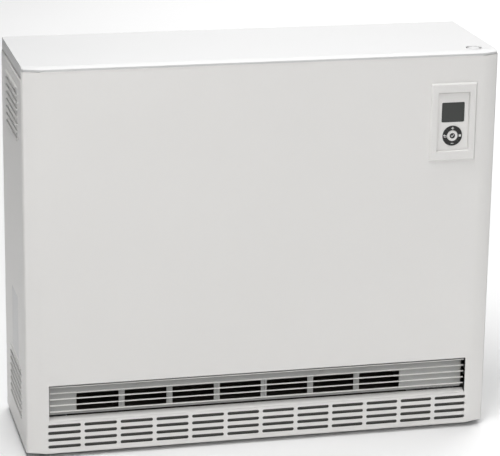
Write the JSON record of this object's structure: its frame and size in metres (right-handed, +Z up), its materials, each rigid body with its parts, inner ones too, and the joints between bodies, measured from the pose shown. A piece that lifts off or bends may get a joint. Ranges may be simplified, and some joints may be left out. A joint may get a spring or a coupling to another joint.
{
  "type": "storage heater",
  "caption": "Floor-standing fan-assisted storage heater: white steel casing, slotted air inlet, bladed outlet grille and a front control unit round an insulated brick core.",
  "frame": {"origin": "on the floor under the middle of the overall box", "axes": "+Z up, the front with the grille and the control unit faces -Y, +X to the right seen from the front"},
  "size_m": [0.7852, 0.254, 0.65],
  "materials": {
    "white_paint": "fine satin powder coat",
    "lid_paint": "fine satin powder coat",
    "galvanised_steel": "galvanised sheet with a soft spangle",
    "grille_paint": "satin grey-white lacquer",
    "grey_paint": "satin grey lacquer",
    "white_plastic": "fine-textured moulded plastic",
    "dark_plastic": "satin black moulding",
    "display_glass": "clear glossy pane over a dark display",
    "circuit_board": "green solder mask",
    "insulation": "pressed mineral board",
    "magnetite_brick": "fired magnetite brick",
    "element_steel": "heat-tinted tube",
    "black_steel": "black lacquered steel",
    "aluminium": "turned and cast aluminium",
    "rubber": "soft black rubber",
    "filter_mesh": "dark woven mesh"
  },
  "bodies": {
    "root": {"left_side_panel": "white_paint", "right_side_panel": "white_paint", "front_panel": "white_paint", "lid": "lid_paint", "base_tray": "galvanised_steel", "rear_panel": "galvanised_steel", "wall_rail": "galvanised_steel", "left_inner_side": "galvanised_steel", "right_inner_side": "galvanised_steel", "core_shelf": "galvanised_steel", "inner_front_cover": "galvanised_steel", "core_cover_sheet": "galvanised_steel", "left_bearer": "galvanised_steel", "right_bearer": "galvanised_steel", "fan_scroll": "galvanised_steel", "outlet_duct": "galvanised_steel", "outlet_grille": "grille_paint", "grille_backplate": "grey_paint", "lid_plug": "white_plastic", "control_bezel": "white_plastic", "control_faceplate": "white_plastic", "control_housing": "white_plastic", "terminal_block": "white_plastic", "display_module": "dark_plastic", "display_window": "display_glass", "control_board": "circuit_board", "relay_board": "circuit_board", "floor_insulation": "insulation", "top_insulation": "insulation", "front_insulation": "insulation", "rear_insulation": "insulation", "left_insulation": "insulation", "right_insulation": "insulation", "brick_layer_1": "magnetite_brick", "brick_layer_2": "magnetite_brick", "brick_layer_3": "magnetite_brick", "brick_layer_4": "magnetite_brick", "brick_layer_5": "magnetite_brick", "brick_layer_6": "magnetite_brick", "heating_element_1": "element_steel", "heating_element_2": "element_steel", "heating_element_3": "element_steel", "left_foot_rail": "black_steel", "right_foot_rail": "black_steel", "fan_motor": "black_steel", "safety_thermostat": "black_steel", "fan_bearing": "aluminium", "flap_actuator": "aluminium", "cable_grommet": "rubber", "lint_filter": "filter_mesh"},
    "fan": {"fan_rotor": "black_steel", "fan_shaft": "aluminium"},
    "flap": {"mixing_flap": "galvanised_steel"},
    "latch_left": {"left_latch": "grey_paint"},
    "latch_right": {"right_latch": "grey_paint"},
    "key_plus": {"plus_key": "dark_plastic"},
    "key_minus": {"minus_key": "dark_plastic"},
    "key_back": {"back_key": "dark_plastic"},
    "key_menu": {"menu_key": "dark_plastic"},
    "key_ok": {"ok_key": "white_plastic"}
  },
  "joints": [
    {"name": "fan_spin", "type": "hinge", "parent": "root", "child": "fan", "pos_m": [-0.032, 0.052, 0.068], "axis": [1, 0, 0], "continuous": true},
    {"name": "flap_swing", "type": "hinge", "parent": "root", "child": "flap", "pos_m": [-0.03, -0.0018, 0.134], "axis": [1, 0, 0], "range_deg": [-40, 0]},
    {"name": "left_latch_turn", "type": "hinge", "parent": "root", "child": "latch_left", "pos_m": [-0.202, -0.108, 0.1113], "axis": [0, 1, 0], "range_deg": [0, 90]},
    {"name": "right_latch_turn", "type": "hinge", "parent": "root", "child": "latch_right", "pos_m": [0.108, -0.108, 0.1113], "axis": [0, 1, 0], "range_deg": [0, 90]},
    {"name": "plus_press", "type": "slide", "parent": "root", "child": "key_plus", "axis": [0, 1, 0], "range_m": [0, 0.0005], "stiffness_N_per_m": 600},
    {"name": "minus_press", "type": "slide", "parent": "root", "child": "key_minus", "axis": [0, 1, 0], "range_m": [0, 0.0005], "stiffness_N_per_m": 600},
    {"name": "back_press", "type": "slide", "parent": "root", "child": "key_back", "axis": [0, 1, 0], "range_m": [0, 0.0005], "stiffness_N_per_m": 600},
    {"name": "menu_press", "type": "slide", "parent": "root", "child": "key_menu", "axis": [0, 1, 0], "range_m": [0, 0.0005], "stiffness_N_per_m": 600},
    {"name": "ok_press", "type": "slide", "parent": "root", "child": "key_ok", "axis": [0, 1, 0], "range_m": [0, 0.0005], "stiffness_N_per_m": 600}
  ]
}
